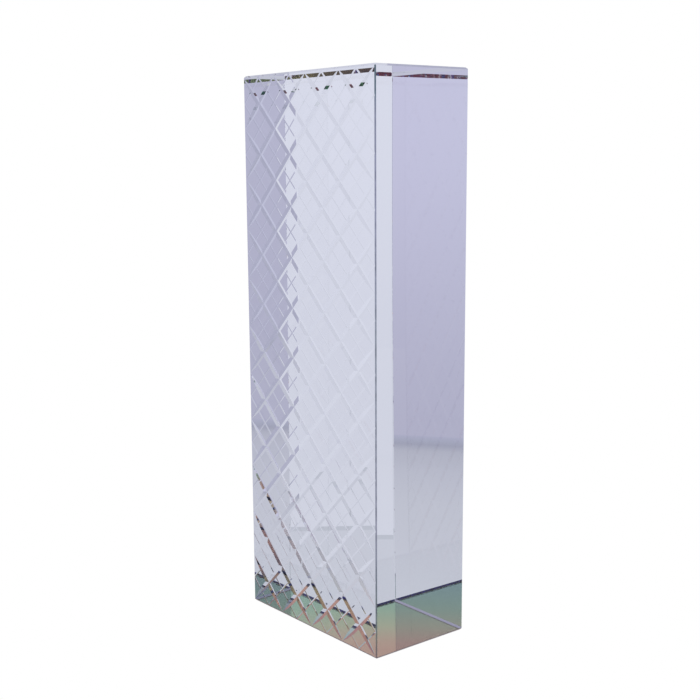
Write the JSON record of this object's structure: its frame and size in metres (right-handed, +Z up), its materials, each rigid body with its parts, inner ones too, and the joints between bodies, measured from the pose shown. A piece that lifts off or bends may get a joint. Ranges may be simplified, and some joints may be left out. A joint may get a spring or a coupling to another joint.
{
  "type": "crystal award",
  "caption": "Tall rectangular optical-crystal tower award with a diamond lattice of V-cuts on its front face and a mirror-coated foot.",
  "frame": {"origin": "centre of the underside, where the award stands", "axes": "+Z up along the tower, lattice face towards -Y, width along X"},
  "size_m": [0.091, 0.052, 0.25],
  "materials": {
    "crystal": "polished clear optical crystal",
    "mirror_coating": "iridescent mirror coating, rose at one corner through tan to green",
    "protective_film": "satin protective film"
  },
  "bodies": {
    "root": {"crystal_block": "crystal", "base_coating": "mirror_coating", "backing_film": "protective_film"}
  },
  "joints": []
}
